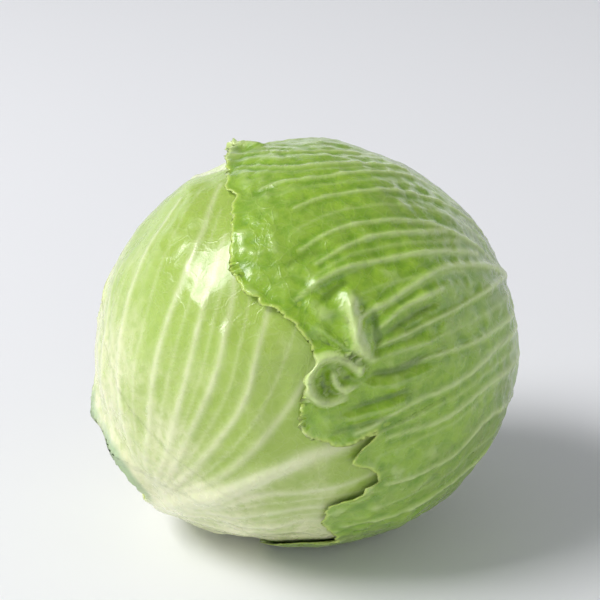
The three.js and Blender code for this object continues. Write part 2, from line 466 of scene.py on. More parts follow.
CURL: tuple[Crease, ...] = (
    Crease(((84.4, 27), (88.1, 21.9), (92.3, 18.9), (95.9, 20.6), (97.7, 25.8), (96.2, 32.9), (91.6, 37.9), (86.3, 37.1)), 6.2, 2.3),
    Crease(((91.6, 24.1), (90.5, 29.4), (87.8, 33), (84.2, 32.6)), 4.6, 1.7),
    Crease(((85.1, 26.1), (83.1, 27.3)), 3.4, 2.4),
    Crease(((94.5, 24.7), (93.6, 30.6), (90.1, 35.3)), -1.4, 1.7),
    Crease(((88.3, 29.3), (86, 28.4)), -1.4, 1.3),
    Crease(((84, -3.2), (85, 4.6), (85.1, 12.4), (83.2, 19.7), (81.3, 23.1)), 4.8, 3, (0.8, 0.3)),
    Crease(((79.1, 5.1), (79.2, 12.6), (79.5, 19)), -1.6, 2.3),
    Crease(((95.6, 4.2), (92.3, 11.1), (88.4, 17), (84.1, 21.2)), 1.6, 1.7),
    Crease(((95.5, 7.7), (92.5, 13.8), (88.4, 19.2), (84, 23.7)), -1.5, 1.1),
    Crease(((80.9, 23.5), (72.7, 21.5), (60.8, 20.2)), 1.7, 2),
    Crease(((81.7, 28.3), (73.7, 28.6), (64.1, 24.8)), -1.6, 2.2),
    Crease(((82.2, 33.3), (72.9, 33.4), (61.7, 29.6)), 1.4, 2.1),
    Crease(((83.8, 41.8), (75.8, 38.8), (65.7, 35.2)), -1.3, 2),
    Crease(((86.4, 47.3), (76.6, 43.3), (64.7, 38.6)), 1.5, 2.2),
    Crease(((87.3, 54.3), (79.3, 49), (68, 44)), -0.9, 2),
    Crease(((78.1, 11.2), (70, 7.2), (58.5, 4)), 1.4, 1.9),
    Crease(((78.5, 16), (70.3, 11.7), (59.6, 8.1)), -1.1, 1.9),
    Crease(((92, -3.8), (86.7, -6.6), (82, -7.3)), -1.4, 2.6),
    Crease(((92.9, -10.8), (86.1, -13.4), (78, -12.2)), 1.3, 2.4),
    Crease(((95.4, -24.6), (89.3, -24.6), (82.6, -23.1)), -1, 2.6),
    Crease(((11.1, -93.4), (25.8, -87.2), (33.8, -79.2)), 3.2, 1.7),
)
BLADE: Path = (
    (-97, -13), (-78, -19), (-58, -40), (-36, -66), (-8, -82), (22, -85), (50, -70), (70, -44), (79, -14),
    (79, 14), (70, 44), (50, 70), (22, 85), (-8, 82), (-36, 66), (-58, 40), (-78, 19), (-97, 13),
)
BLADE_MIDRIB: Path = ((-98, 0), (-60, 0), (-20, 1), (20, 0), (50, -1), (74, 0))
SIDE_STARTS = (-78, -62, -46, -30, -14, 4, 22, 40)
FIRST_TURN = 21.0
TURN_PER_LEAF = 137.5
MIDDLE_FROM_STEM = 101.0


def on_meridian(turn: float, arc: float) -> Array:
    """Gives a direction at an arc from the stump, at a turn round it.

    Args:
        turn: Degrees round the stem axis.
        arc: Degrees from the stump.

    Returns:
        The unit vector.
    """
    stem = HEAD.stem
    start = np.array([1.0, 0, 0]) - stem * stem[0]
    start /= np.linalg.norm(start)
    side = start * math.cos(turn * DEG) - np.cross(stem, start) * math.sin(turn * DEG)
    return stem * math.cos(arc * DEG) + side * math.sin(arc * DEG)


def hidden_plan(number: int) -> LeafPlan:
    """Plans one of the leaves under the outer two.

    Args:
        number: Its place, counted from the outside.

    Returns:
        The plan.
    """
    turn = FIRST_TURN - TURN_PER_LEAF * (number - 1) - 10
    chart = Chart.facing(on_meridian(turn, MIDDLE_FROM_STEM), on_meridian(turn, MIDDLE_FROM_STEM + 60))
    stretch, spread = 1 + 0.02 * math.sin(number * 2.4), 1 + 0.04 * math.cos(number * 1.7)
    outline = tuple((u * stretch, v * spread) for u, v in BLADE)
    sides = tuple(
        ((u, 0), (u + 14, side * 13), (u + 27, side * 33), (u + 33, side * (54 + 0.2 * u)))
        for u in SIDE_STARTS
        for side in (-1, 1)
    )
    veins = (Vein(BLADE_MIDRIB, 4.5, 1.8, 0.3, 0.9), *(Vein(path, 1.8, 0.7, 0.4, 0.6) for path in sides))
    return LeafPlan(f"wrapper_leaf_{number}", chart, outline, veins, seed=number * 7)


PLANS: tuple[LeafPlan, ...] = (
    LeafPlan(
        "wrapper_leaf_1", OUTER_CHART, OUTER_EDGE,
        (
            Vein(OUTER_MIDRIB, 3.6, 1.9, 0.25, 0.9),
            *ranks(UPPER_SIDES, 1.4, 0.85, 0.7), *ranks(LOWER_SIDES, 1.7, 0.8, 0.7),
            *ranks(REAR_SIDES, 1.7, 0.8, 0.7),
        ),
        CURL,
        flares=(
            Flare((22, -90), 13, 3.4, 6),
            Flare((98, -10), 24, 1.1, 5),
            Flare((90, 54), 10, 1.6, 5),
            Flare((60, 72), 14, 1.2, 5),
        ),
        spokes=560, rings=176, edge_lift=0.9, raggedness=1.0, crinkle=0.8, crinkle_reach=24.0, seed=3,
        # The tone runs from the grey-olive stalk end, which covers the head's right side and is partly painted sheen,
        # to deep green at the front.
        tone_axis=(0.8, 0.1), tone_range=(-60, 90),
    ),
    LeafPlan(
        "wrapper_leaf_2", SECOND_CHART, SECOND_EDGE,
        (Vein(SECOND_MIDRIB, 6.5, 2.2, 0.3, 0.95), *ranks(SECOND_SIDES, 2.3, 0.5, 0.55)),
        flares=(
            Flare((-45, 22), 13, 4.6, 10, True),
            Flare((-60, 33), 6, 5.0, 9, True),
            Flare((-48, 70), 8, 1.2, 6),
        ),
        spokes=560, rings=176, edge_lift=0.5, raggedness=0.6, quilt=0.55, crinkle=0.1, seed=5,
        tone_axis=(1.0, 0.55), tone_range=(-46, 42),
    ),
    *(hidden_plan(number) for number in range(3, 9)),
)


# ---------------------------------------------------------------- the pieces
def sphere_mesh(name: str, spokes: int, rings: int) -> tuple[bpy.types.Object, Array, Array]:
    """Makes a unit sphere and measures where each corner is on it.

    Args:
        name: Of the new object.
        spokes: Segments round it.
        rings: Segments from pole to pole.

    Returns:
        The object, each corner's share of the way from the top pole to the bottom one, and its share of a
        turn.
    """
    bm = bmesh.new()
    bmesh.ops.create_uvsphere(bm, u_segments=spokes // 2, v_segments=rings // 2, radius=1.0)
    bmesh.ops.subdivide_edges(bm, edges=bm.edges[:], cuts=1, use_grid_fill=True)
    mesh = bpy.data.meshes.new(name)
    bm.to_mesh(mesh)
    bm.free()
    co = np.empty(len(mesh.vertices) * 3, dtype=np.float32)
    mesh.vertices.foreach_get("co", co)
    x, y, z = co.reshape(-1, 3).astype(float).T
    obj = bpy.data.objects.new(name, mesh)
    bpy.context.scene.collection.objects.link(obj)
    return obj, np.arctan2(np.hypot(x, y), z) / math.pi, np.arctan2(y, x) / (2 * math.pi) % 1


def set_shape(obj: bpy.types.Object, points: Array) -> None:
    """Moves a mesh's corners and shades it smooth.

    Args:
        obj: The object.
        points: New places in mm, in the row frame.
    """
    obj.data.vertices.foreach_set("co", (points * MM).astype(np.float32).ravel())
    obj.data.polygons.foreach_set("use_smooth", np.ones(len(obj.data.polygons), dtype=bool))
    obj.data.update()


def set_values(obj: bpy.types.Object, name: str, values: Array) -> None:
    """Stores one value or vector at each corner for the finishes to read.

    Args:
        obj: The object.
        name: Of the attribute.
        values: One value, or three, for each corner.
    """
    kind = "FLOAT_VECTOR" if values.ndim == 2 else "FLOAT"
    attribute = obj.data.attributes.new(name, kind, "POINT")
    attribute.data.foreach_set("vector" if values.ndim == 2 else "value", values.astype(np.float32).ravel())


def declare(obj: bpy.types.Object, node: str) -> None:
    """Tells the frame what a piece is.

    Args:
        obj: The piece.
        node: The node that it stands for.
    """
    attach(obj, "root")
    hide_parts(node)


def distance_to(points: Array, path: Array, reach: float) -> tuple[Array, Array]:
    """Measures the distance from points to a path, where they are near it.

    Args:
        points: Places in mm.
        path: The path's corners in mm.
        reach: Distance past which points are left out, mm.

    Returns:
        Distances, infinite for the points left out, and the share of the path's length at the nearest place.
    """
    best = np.full(len(points), np.inf)
    share = np.zeros(len(points))
    middle = path.mean(0)
    extent = float(np.linalg.norm(path - middle, axis=1).max()) + reach
    some = np.flatnonzero(np.linalg.norm(points - middle, axis=1) < extent)
    points = points[some]
    steps = len(path) - 1
    for k in range(steps):
        a, run = path[k], path[k + 1] - path[k]
        size = float(run @ run) + 1e-12
        near = np.flatnonzero(np.einsum("ij,ij->i", points - (a + run / 2), points - (a + run / 2)) < (reach + math.sqrt(size) / 2) ** 2)
        if not len(near):
            continue
        offset = points[near] - a
        t = np.clip(offset @ run / size, 0, 1)
        gap = np.linalg.norm(offset - t[:, None] * run, axis=1)
        better = gap < best[some[near]]
        best[some[near[better]]] = gap[better]
        share[some[near[better]]] = (k + t[better]) / steps
    return best, share


class Leaf:
    """One leaf of the head, as a closed sheet."""

    step = 2.0  # mm from one leaf's outer face to the next leaf's
    clearance = 0.7  # mm, least height of a crease's bottom over the next leaf's outer face
    hold = 4.0  # degrees past a leaf's edge that it still presses the next leaf down
    release = 13.0  # degrees past its edge where it no longer does
    outer_share = 69 / 88  # of the sphere's rings that go to the outer face
    low = (-0.90, -0.62)  # height of a direction below which edges are pressed flat, and above which they aren't

    def __init__(self, plan: LeafPlan, over: list["Leaf"]) -> None:
        """Works out the leaf's edge.

        Args:
            plan: Its shape.
            over: The leaves that lie over it, outermost first.
        """
        self.plan = plan
        self.over = over
        even = through(plan.outline, 1600, closed=True)
        turn = np.arange(len(even)) / len(even) * 2 * math.pi
        ring = np.stack([np.cos(turn), np.sin(turn)], axis=1) * 95
        jag = 0.6 * Ripple(plan.seed, 26).at(ring) + 0.4 * Ripple(plan.seed + 1, 8).at(ring)
        jag += 0.25 * Ripple(plan.seed + 2, 3.2).at(ring)
        self.edge = even * (1 + plan.raggedness * jag / 95)[:, None]
        self.edge_places = plan.chart.to_head(self.edge[::4]) * ARC_RADIUS

    def contains(self, d: Array) -> Array:
        """Tells which directions pass through the leaf."""
        p = self.plan.chart.to_chart(d)
        ring = self.edge[::8]
        inside = np.zeros(len(p), dtype=bool)
        for a, b in zip(ring, np.roll(ring, 1, axis=0)):
            if a[1] == b[1]:
                continue
            spans = (a[1] > p[:, 1]) != (b[1] > p[:, 1])
            inside ^= spans & (p[:, 0] < (b[0] - a[0]) * (p[:, 1] - a[1]) / (b[1] - a[1]) + a[0])
        return inside

    def edge_distance(self, d: Array) -> Array:
        """Measures how far directions are from the leaf's edge, mm along the head."""
        best = np.full(len(d), -1.0)
        unit = self.edge_places / ARC_RADIUS
        for start in range(0, len(d), 20000):
            best[start : start + 20000] = (d[start : start + 20000] @ unit.T).max(1)
        return np.arccos(np.clip(best, -1, 1)) * ARC_RADIUS

    def pressure(self, d: Array) -> Array:
        """Tells how firmly the leaf presses on what lies under it: 1 under the leaf to 0 well past it."""
        away = self.edge_distance(d) / (ARC_RADIUS * DEG)
        return np.where(self.contains(d), 1.0, 1 - smoothstep(away, self.hold, self.release))

    def relief(self, uv: Array, d: Array) -> tuple[Array, Array]:
        """Raises the veins on the outer face.

        Args:
            uv: Chart points; not used.
            d: The same points as directions.

        Returns:
            Heights in mm, and how much of each place is rib, 0 to 1.
        """
        places = d * ARC_RADIUS
        ridge, groove, rib = np.zeros(len(d)), np.zeros(len(d)), np.zeros(len(d))
        for vein in self.plan.veins:
            path = self.plan.chart.to_head(through(vein.path, 8 * len(vein.path), closed=False)) * ARC_RADIUS
            gap, share = distance_to(places, path, vein.width * 6)
            size = 1 - (1 - vein.taper) * share
            width = vein.width * size
            near = np.exp(-((gap / width) ** 2))
            sprung = 0.35 + 0.65 * smoothstep(share, 0.0, 0.3)
            ridge = np.maximum(ridge, vein.height * size * sprung * near)
            rib = np.maximum(rib, np.exp(-((gap / (width * 1.1)) ** 2)) * (0.4 + 0.6 * size) * vein.shade)
            side = np.exp(-(((gap - 3.0 * width) / (1.9 * width)) ** 2))
            groove = np.maximum(groove, np.where(np.isfinite(gap), 0.36 * min(vein.height, 1.1) * sprung * side, 0))
        quilt = 0.20 * Ripple(self.plan.seed + 5, 9).at(places) + 0.08 * Ripple(self.plan.seed + 6, 4).at(places)
        quilt *= self.plan.quilt
        crinkle = np.exp(-self.edge_distance(d) / self.plan.crinkle_reach) * self.plan.crinkle
        quilt = quilt * (1 + crinkle) + 0.42 * crinkle * Ripple(self.plan.seed + 8, 17).at(places)
        return ridge - groove + quilt, rib

    def fold(self, uv: Array, d: Array) -> tuple[Array, Array]:
        """Works out the creases and flares that the whole sheet follows.

        Args:
            uv: Chart points; not used.
            d: The same points as directions.

        Returns:
            Heights in mm, and shifts in the chart in degrees.
        """
        places = d * ARC_RADIUS
        lift, shift = np.zeros(len(d)), np.zeros((len(d), 2))
        for crease in self.plan.creases:
            path = self.plan.chart.to_head(through(crease.path, 8 * len(crease.path), closed=False)) * ARC_RADIUS
            gap, share = distance_to(places, path, crease.width * 4)
            ends = smoothstep(share, -0.02, 0.22) * (1 - smoothstep(share, 0.80, 1.02))
            form = np.exp(-((gap / crease.width) ** 2)) * (0.35 + 0.65 * ends)
            lift += crease.height * form
            shift += form[:, None] ** 2 * np.array(crease.lean)
        edge = self.edge_distance(d)
        for flare in self.plan.flares:
            away = angle_between(d, self.plan.chart.to_head(np.array([flare.at]))[0]) / flare.spread
            lift += flare.height * np.clip(1 - edge / flare.reach, 0, 1) ** 1.6 * np.exp(-(away**2))
        wave = 0.6 + 0.4 * Ripple(self.plan.seed + 3, 14).at(places)
        lift += self.plan.edge_lift * np.clip(1 - edge / 4.5, 0, 1) ** 2 * wave
        lift *= smoothstep(d[:, 2], *self.low)
        return lift, shift

    def underside(self, d: Array, edge: Array) -> Array:
        """Tells where the leaf's underside shows along a turned-out edge.

        Args:
            d: Directions.
            edge: Their distances from the leaf's edge, mm.

        Returns:
            0 to 1.
        """
        shown = np.zeros(len(d))
        for flare in self.plan.flares:
            if flare.turned:
                away = angle_between(d, self.plan.chart.to_head(np.array([flare.at]))[0]) / flare.spread
                shown = np.maximum(shown, (1 - smoothstep(edge, 2.2, 4.6)) * np.exp(-(away**4)))
        return shown

    def build(self) -> bpy.types.Object:
        """Makes the leaf's mesh and stores what its finish reads.

        Returns:
            The leaf.
        """
        plan = self.plan
        obj, polar, turn = sphere_mesh(plan.node, plan.spokes, plan.rings)
        outer = polar < self.outer_share + 1e-6
        share = np.where(outer, polar / self.outer_share, (1 - polar) / (1 - self.outer_share))
        count = len(self.edge)
        at = np.arange(count + 1) / count
        wrap = np.vstack([self.edge, self.edge[:1]])
        rim = np.stack([np.interp(turn, at, wrap[:, k]) for k in (0, 1)], axis=1)
        uv = rim * share[:, None]
        d = plan.chart.to_head(uv)
        open_air = HEAD.clear_of_foot(d)
        cover = np.zeros(len(d))
        for leaf in self.over:
            cover += leaf.pressure(d)
        free = 1 - np.clip(cover, 0, 1)
        fold, shift = self.fold(uv, d)
        rise, rib = self.relief(uv, d)
        edge = self.edge_distance(d)
        body = smoothstep(edge, 0.0, 2.2)
        thick = plan.thickness * (0.35 + 0.65 * body)
        base = HEAD.radius(d) - self.step * cover + fold * open_air * (0.15 + 0.85 * free)
        rise = np.where(outer, rise * open_air * free * (0.25 + 0.75 * body), 0)
        over = HEAD.radius(d) - self.step * cover
        deepest = self.clearance - self.step
        sheet = base - over + rise
        sheet = np.where(sheet < 0, deepest * np.tanh(sheet / deepest), sheet)
        radius = over + sheet - np.where(outer, np.where(share > 0.999, 0.5, 0) * thick, thick)
        moved = plan.chart.to_head(uv + shift * (open_air * free)[:, None])
        points = HEAD.centre + moved * radius[:, None]
        points[:, 2] = np.maximum(points[:, 2], 0)
        set_shape(obj, points)
        axis, (low, high) = np.array(plan.tone_axis), plan.tone_range
        set_values(obj, "rib", rib)
        set_values(obj, "edge", edge)
        set_values(obj, "tone", smoothstep(uv @ axis, low, high))
        # The finish reads fold and rise to paint light on crests and shade in dips and crease bottoms.
        set_values(obj, "fold", np.clip(fold / 3.0, -1, 1))
        set_values(obj, "rise", np.clip(rise, -1, 1))
        set_values(obj, "under", self.underside(d, edge))
        set_values(obj, "grain", np.column_stack([uv, np.zeros(len(uv))]) * DEG * ARC_RADIUS)
        set_values(obj, "place", d * ARC_RADIUS)
        declare(obj, plan.node)
        return obj


@dataclass(frozen=True)
class Heart:
    """The tight heart inside the wrapper leaves."""

    inset: float = 1.5
    spokes: int = 120
    rings: int = 80

    def build(self, leaves: list[Leaf]) -> bpy.types.Object:
        """Makes the heart.

        Args:
            leaves: The leaves that lie over it.

        Returns:
            The heart.
        """
        obj, polar, turn = sphere_mesh("heart", self.spokes, self.rings)
        s = np.sin(polar * math.pi)
        d = np.stack(
            [s * np.cos(turn * 2 * math.pi), s * np.sin(turn * 2 * math.pi), np.cos(polar * math.pi)], 1
        )
        depth = sum(Leaf.step * leaf.pressure(d) for leaf in leaves)
        set_shape(obj, HEAD.centre + d * (HEAD.radius(d) - depth - self.inset)[:, None])
        set_values(obj, "rib", np.zeros(len(d)))
        set_values(obj, "edge", np.full(len(d), 30.0))
        set_values(obj, "tone", np.full(len(d), 0.3))
        set_values(obj, "fold", np.zeros(len(d)))
        set_values(obj, "rise", np.zeros(len(d)))
        set_values(obj, "under", np.zeros(len(d)))
        set_values(obj, "grain", d * ARC_RADIUS)
        set_values(obj, "place", d * ARC_RADIUS)
        declare(obj, "heart")
        return obj


@dataclass(frozen=True)
class Stump:
    """The cut stem."""

    radius: float = 15.2
    root: float = 62.0
    cut: float = 92.6
    spokes: int = 128
    rings: int = 96

    def build(self) -> bpy.types.Object:
        """Makes the stump.

        Returns:
            The stump.
        """
        obj, polar, turn = sphere_mesh("stem_stump", self.spokes, self.rings)
        profile = np.array(
            [
                (0.0, 0.0, self.cut - 1.2), (0.12, 6.0, self.cut - 0.9), (0.26, self.radius - 2.2, self.cut),
                (0.32, self.radius - 0.5, self.cut - 1.0), (0.38, self.radius, self.cut - 3.0),
                (0.80, self.radius, self.root + 5), (0.88, self.radius - 2, self.root), (1.0, 0.0, self.root),
            ]
        )
        out = np.interp(polar, profile[:, 0], profile[:, 1])
        along = np.interp(polar, profile[:, 0], profile[:, 2])
        stem = HEAD.stem
        side = np.cross(stem, [0, 0, 1.0])
        side /= np.linalg.norm(side)
        other = np.cross(stem, side)
        c, s = np.cos(turn * 2 * math.pi), np.sin(turn * 2 * math.pi)
        ring = np.column_stack([c, s, np.zeros(len(c))]) * self.radius
        out = out * (1 + 0.02 * Ripple(31, 24).at(ring))
        points = along[:, None] * stem + out[:, None] * (c[:, None] * side + s[:, None] * other)
        set_shape(obj, HEAD.centre + points)
        set_values(obj, "face", 1 - smoothstep(polar, 0.24, 0.34))
        set_values(obj, "grain", np.column_stack([out * c, out * s, along]))
        declare(obj, "stem_stump")
        return obj


# ---------------------------------------------------------------- finishes
def srgb(red: int, green: int, blue: int) -> Color:
    """Turns an 8-bit display colour into a linear one.

    Args:
        red: 0 to 255.
        green: 0 to 255.
        blue: 0 to 255.

    Returns:
        Linear red, green, blue and alpha.
    """
    scaled = [c / 255 for c in (red, green, blue)]
    return (*(c / 12.92 if c <= 0.04045 else ((c + 0.055) / 1.055) ** 2.4 for c in scaled), 1.0)


class Op(Enum):
    """The sums that finishes use."""

    ADD = "ADD"
    SUBTRACT = "SUBTRACT"
    MULTIPLY = "MULTIPLY"
    POWER = "POWER"
    LESS = "LESS_THAN"
    MAXIMUM = "MAXIMUM"


class Graph:
    """A node tree with short ways to add to it."""

    def __init__(self, tree: bpy.types.NodeTree) -> None:
        """Wraps a node tree.

        Args:
            tree: The tree.
        """
        self.tree = tree

    def node(self, kind: str, **inputs: object) -> bpy.types.Node:
        """Adds a node and feeds its inputs.

        Args:
            kind: The node's type.
            **inputs: Values or sockets by input name, with spaces written as underscores.

        Returns:
            The node.
        """
        new = self.tree.nodes.new(kind)
        for name, value in inputs.items():
            self.feed(new.inputs[name.replace("_", " ")], value)
        return new

    def feed(self, socket: bpy.types.NodeSocket, value: object) -> None:
        """Links a socket to an input, or sets the input to a value."""
        if isinstance(value, bpy.types.NodeSocket):
            self.tree.links.new(value, socket)
        elif value is not None:
            socket.default_value = value

    def math(self, op: Op, a: object, b: object) -> bpy.types.NodeSocket:
        """Adds a sum of two numbers."""
        new = self.tree.nodes.new("ShaderNodeMath")
        new.operation = op.value
        self.feed(new.inputs[0], a)
        self.feed(new.inputs[1], b)
        return new.outputs[0]

    def mix(self, share: object, a: object, b: object) -> bpy.types.NodeSocket:
        """Mixes two colours."""
        new = self.tree.nodes.new("ShaderNodeMix")
        new.data_type = "RGBA"
        self.feed(new.inputs["Factor"], share)
        self.feed(new.inputs[6], a)
        self.feed(new.inputs[7], b)
        return new.outputs[2]

    def ease(self, value: object, low: float, high: float, to_low: float = 0.0, to_high: float = 1.0):
        """Maps a range smoothly onto another range and returns the output socket."""
        new = self.tree.nodes.new("ShaderNodeMapRange")
        new.interpolation_type = "SMOOTHSTEP"
        self.feed(new.inputs["Value"], value)
        for name, number in zip(("From Min", "From Max", "To Min", "To Max"), (low, high, to_low, to_high)):
            new.inputs[name].default_value = number
        return new.outputs[0]

    def attribute(self, name: str) -> bpy.types.Node:
        """Adds a node that reads a stored attribute."""
        new = self.tree.nodes.new("ShaderNodeAttribute")
        new.attribute_name = name
        return new

    def noise(self, vector: object, scale: float, detail: float = 3.0, rough: float = 0.55):
        """Adds a noise texture and returns its value socket."""
        new = self.node("ShaderNodeTexNoise", Vector=vector, Scale=scale, Detail=detail, Roughness=rough)
        return new.outputs["Fac" if "Fac" in new.outputs else 0]


def vein_network() -> bpy.types.NodeTree:
    """Makes the shared group that draws the fine net of veins between the side veins.

    Returns:
        The group, which takes a place in mm and gives a mask of veins.
    """
    group = bpy.data.node_groups.new("vein network", "ShaderNodeTree")
    group.interface.new_socket("Place", in_out="INPUT", socket_type="NodeSocketVector")
    group.interface.new_socket("Coarse", in_out="OUTPUT", socket_type="NodeSocketFloat")
    group.interface.new_socket("Fine", in_out="OUTPUT", socket_type="NodeSocketFloat")
    graph = Graph(group)
    place = graph.tree.nodes.new("NodeGroupInput").outputs["Place"]
    out = graph.tree.nodes.new("NodeGroupOutput")
    warp = graph.node("ShaderNodeTexNoise", Vector=place, Scale=0.12, Detail=2.0)
    bend = graph.node("ShaderNodeVectorMath", Vector=warp.outputs["Color"])
    bend.operation = "SCALE"
    graph.feed(bend.inputs["Scale"], 9.0)
    bent = graph.tree.nodes.new("ShaderNodeVectorMath")
    graph.feed(bent.inputs[0], place)
    graph.feed(bent.inputs[1], bend.outputs[0])
    for name, scale, width in (("Coarse", 0.125, 0.085), ("Fine", 0.42, 0.10)):
        cells = graph.tree.nodes.new("ShaderNodeTexVoronoi")
        cells.feature = "DISTANCE_TO_EDGE"
        graph.feed(cells.inputs["Vector"], bent.outputs[0])
        graph.feed(cells.inputs["Scale"], scale)
        graph.feed(out.inputs[name], graph.ease(cells.outputs["Distance"], 0.0, width, 1.0, 0.0))
    return group


def blemishes() -> bpy.types.NodeTree:
    """Makes the shared group that scatters small dark specks.

    Returns:
        The group, which takes a place in mm and gives a mask of specks.
    """
    group = bpy.data.node_groups.new("blemishes", "ShaderNodeTree")
    group.interface.new_socket("Place", in_out="INPUT", socket_type="NodeSocketVector")
    group.interface.new_socket("Specks", in_out="OUTPUT", socket_type="NodeSocketFloat")
    graph = Graph(group)
    place = graph.tree.nodes.new("NodeGroupInput").outputs["Place"]
    out = graph.tree.nodes.new("NodeGroupOutput")
    dots = graph.node("ShaderNodeTexVoronoi", Vector=place, Scale=0.11)
    spot = graph.ease(dots.outputs["Distance"], 0.02, 0.055, 1.0, 0.0)
    patch = graph.ease(graph.noise(place, 0.05), 0.54, 0.64)
    graph.feed(out.inputs["Specks"], graph.math(Op.MULTIPLY, spot, patch))
    return group


@dataclass(frozen=True)
class LeafFinish:
    """How a leaf looks.

    Attributes:
        name: Of the material.
        pale: Colour near the stalk.
        deep: Colour towards the tip.
        patch: Colour of the deeper patches between veins, also painted as shade in the dips of the relief.
        rib: Colour of the ribs, also painted as light on the crests of the relief and of creases.
        rim: Colour of the thin edge.
        gloss: Roughness of the leaf.
        wax: Strength of the smooth wax over it.
        crease_shade: Painted shade in the bottoms of creases.
        underside: Colour of the underside where an edge is turned out.
        net: How strongly the fine veins show.
        relief: Strength of the fine unevenness.
    """

    name: str
    pale: Color
    deep: Color
    patch: Color
    rib: Color
    rim: Color
    # Painted shade for the bottoms of creases.
    crease_shade: Color = srgb(84, 116, 22)
    underside: Color = srgb(150, 176, 134)
    gloss: float = 0.36
    wax: float = 0.22
    net: float = 0.5
    relief: float = 0.5

    def build(self, network: bpy.types.NodeTree, specks: bpy.types.NodeTree) -> bpy.types.Material:
        """Makes the material.

        Args:
            network: Group that draws the fine veins.
            specks: Group that scatters specks.

        Returns:
            The material.
        """
        material = bpy.data.materials.new(self.name)
        material.use_nodes = True
        graph = Graph(material.node_tree)
        skin = material.node_tree.nodes["Principled BSDF"]
        place = graph.attribute("place").outputs["Vector"]
        rib = graph.attribute("rib").outputs["Fac"]
        tone = graph.attribute("tone").outputs["Fac"]
        edge = graph.attribute("edge").outputs["Fac"]
        fold = graph.attribute("fold").outputs["Fac"]
        rise = graph.attribute("rise").outputs["Fac"]
        under = graph.attribute("under").outputs["Fac"]
        net = graph.tree.nodes.new("ShaderNodeGroup")
        net.node_tree = network
        graph.feed(net.inputs["Place"], place)
        dots = graph.tree.nodes.new("ShaderNodeGroup")
        dots.node_tree = specks
        graph.feed(dots.inputs["Place"], place)
        broad = graph.noise(place, 0.035, 4.0)
        mottle = graph.noise(place, 0.22, 5.0, 0.6)
        drift = graph.math(Op.ADD, tone, graph.ease(broad, 0.3, 0.7, -0.22, 0.22))
        blade = graph.mix(graph.ease(drift, 0.0, 1.0), self.pale, self.deep)
        blade = graph.mix(graph.math(Op.MULTIPLY, graph.ease(mottle, 0.42, 0.68), 0.45), blade, self.patch)
        # Painted light and shade: dips of the relief are mixed towards the patch colour as painted shade, and its
        # crests towards the rib colour as painted light.
        blade = graph.mix(graph.ease(rise, -0.75, -0.05, 0.7, 0.0), blade, self.patch)
        blade = graph.mix(graph.ease(rise, 0.05, 0.7, 0.0, 0.35), blade, self.rib)
        fine = graph.math(Op.MULTIPLY, net.outputs["Fine"], 0.3 * self.net)
        coarse = graph.math(Op.MULTIPLY, net.outputs["Coarse"], 0.75 * self.net)
        blade = graph.mix(graph.math(Op.MAXIMUM, fine, coarse), blade, self.rib)
        blade = graph.mix(graph.math(Op.MULTIPLY, rib, 0.9), blade, self.rib)
        blade = graph.mix(graph.ease(edge, 0.5, 2.2, 0.75, 0.0), blade, self.rim)
        # Painted light and shade: crests of creases and lifted edges are mixed towards the rib colour as painted light,
        # and crease bottoms towards the crease shade colour as painted shade.
        blade = graph.mix(graph.ease(fold, 0.25, 1.0, 0.0, 0.7), blade, self.rib)
        blade = graph.mix(graph.ease(fold, -0.48, -0.08, 0.6, 0.0), blade, self.crease_shade)
        blade = graph.mix(graph.math(Op.MULTIPLY, under, 0.85), blade, self.underside)
        blade = graph.mix(graph.math(Op.MULTIPLY, dots.outputs["Specks"], 0.5), blade, srgb(92, 82, 40))
        graph.feed(skin.inputs["Base Color"], blade)
        wax = graph.noise(place, 0.09, 4.0)
        graph.feed(skin.inputs["Roughness"], graph.ease(wax, 0.3, 0.7, self.gloss - 0.05, self.gloss + 0.10))
        skin.inputs["Coat Weight"].default_value = self.wax
        skin.inputs["Coat Roughness"].default_value = 0.13
        skin.inputs["Subsurface Weight"].default_value = 0.12
        skin.inputs["Subsurface Radius"].default_value = (0.6, 1.0, 0.25)
        skin.inputs["Subsurface Scale"].default_value = 0.003
        height = graph.math(Op.MULTIPLY, net.outputs["Coarse"], 0.22)
        height = graph.math(Op.ADD, height, graph.math(Op.MULTIPLY, net.outputs["Fine"], 0.10))
        height = graph.math(Op.ADD, height, graph.math(Op.MULTIPLY, graph.noise(place, 0.6, 4.0), 0.35))
        bump = graph.node("ShaderNodeBump", Height=height, Strength=self.relief, Distance=0.0006)
        graph.feed(skin.inputs["Normal"], bump.outputs["Normal"])
        return material


@dataclass(frozen=True)
class StumpFinish:
    """How the cut stem looks."""

    side: Color = srgb(205, 208, 156)
    face: Color = srgb(196, 178, 128)
    pith: Color = srgb(222, 216, 176)
    bark: Color = srgb(150, 128, 80)

    def build(self) -> bpy.types.Material:
        """Makes the material.

        Returns:
            The material.
        """
        material = bpy.data.materials.new("cut stem")
        material.use_nodes = True
        graph = Graph(material.node_tree)
        skin = material.node_tree.nodes["Principled BSDF"]
        grain = graph.attribute("grain").outputs["Vector"]
        face = graph.attribute("face").outputs["Fac"]
        fibres = graph.noise(grain, 0.7, 6.0, 0.7)
        stain = graph.ease(graph.noise(grain, 0.12, 4.0), 0.42, 0.7)
        cut = graph.mix(graph.ease(fibres, 0.35, 0.65), self.face, self.pith)
        cut = graph.mix(graph.math(Op.MULTIPLY, stain, 0.6), cut, self.bark)
        side = graph.mix(graph.math(Op.MULTIPLY, stain, 0.35), self.side, self.bark)
        graph.feed(skin.inputs["Base Color"], graph.mix(face, side, cut))
        skin.inputs["Roughness"].default_value = 0.7
        bump = graph.node("ShaderNodeBump", Height=fibres, Strength=0.5, Distance=0.0008)
        graph.feed(skin.inputs["Normal"], bump.outputs["Normal"])
        return material
